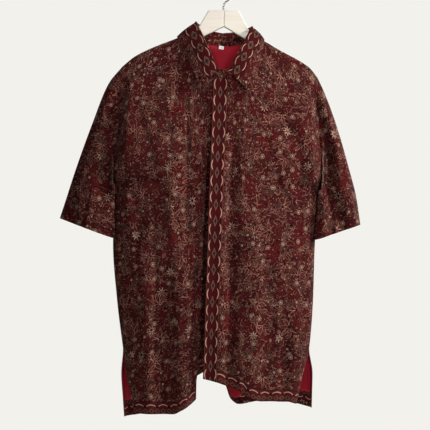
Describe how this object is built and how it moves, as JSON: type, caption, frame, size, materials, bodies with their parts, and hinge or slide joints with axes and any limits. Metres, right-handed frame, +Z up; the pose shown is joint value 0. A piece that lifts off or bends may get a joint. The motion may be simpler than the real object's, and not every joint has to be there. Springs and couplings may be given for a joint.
{
  "type": "short-sleeved batik shirt on a wooden hanger",
  "caption": "Short-sleeved batik shirt with a turned-down collar, hidden placket and side slits, hanging on a flat wooden hanger.",
  "frame": {"origin": "inside of the hook's crown, where the hanger hangs on a rail", "axes": "+Z up, the shirt's front faces -Y, the wearer's left is at +X"},
  "size_m": [0.661, 0.1317, 0.9593],
  "materials": {
    "batik_print": "matte printed cotton",
    "border_print": "matte printed cotton",
    "crimson_lining": "soft satin",
    "blank_label": "woven satin",
    "pale_wood": "satin lacquer",
    "steel": "polished"
  },
  "bodies": {
    "root": {"hanger_right_half": "pale_wood", "hanger_left_half": "pale_wood", "hanger_hook": "steel", "back": "batik_print", "back_lining": "crimson_lining", "neck_label": "blank_label", "right_front": "batik_print", "left_front": "batik_print", "placket": "border_print", "right_sleeve": "batik_print", "left_sleeve": "batik_print", "collar_stand": "batik_print", "collar_leaf": "border_print"}
  },
  "joints": []
}
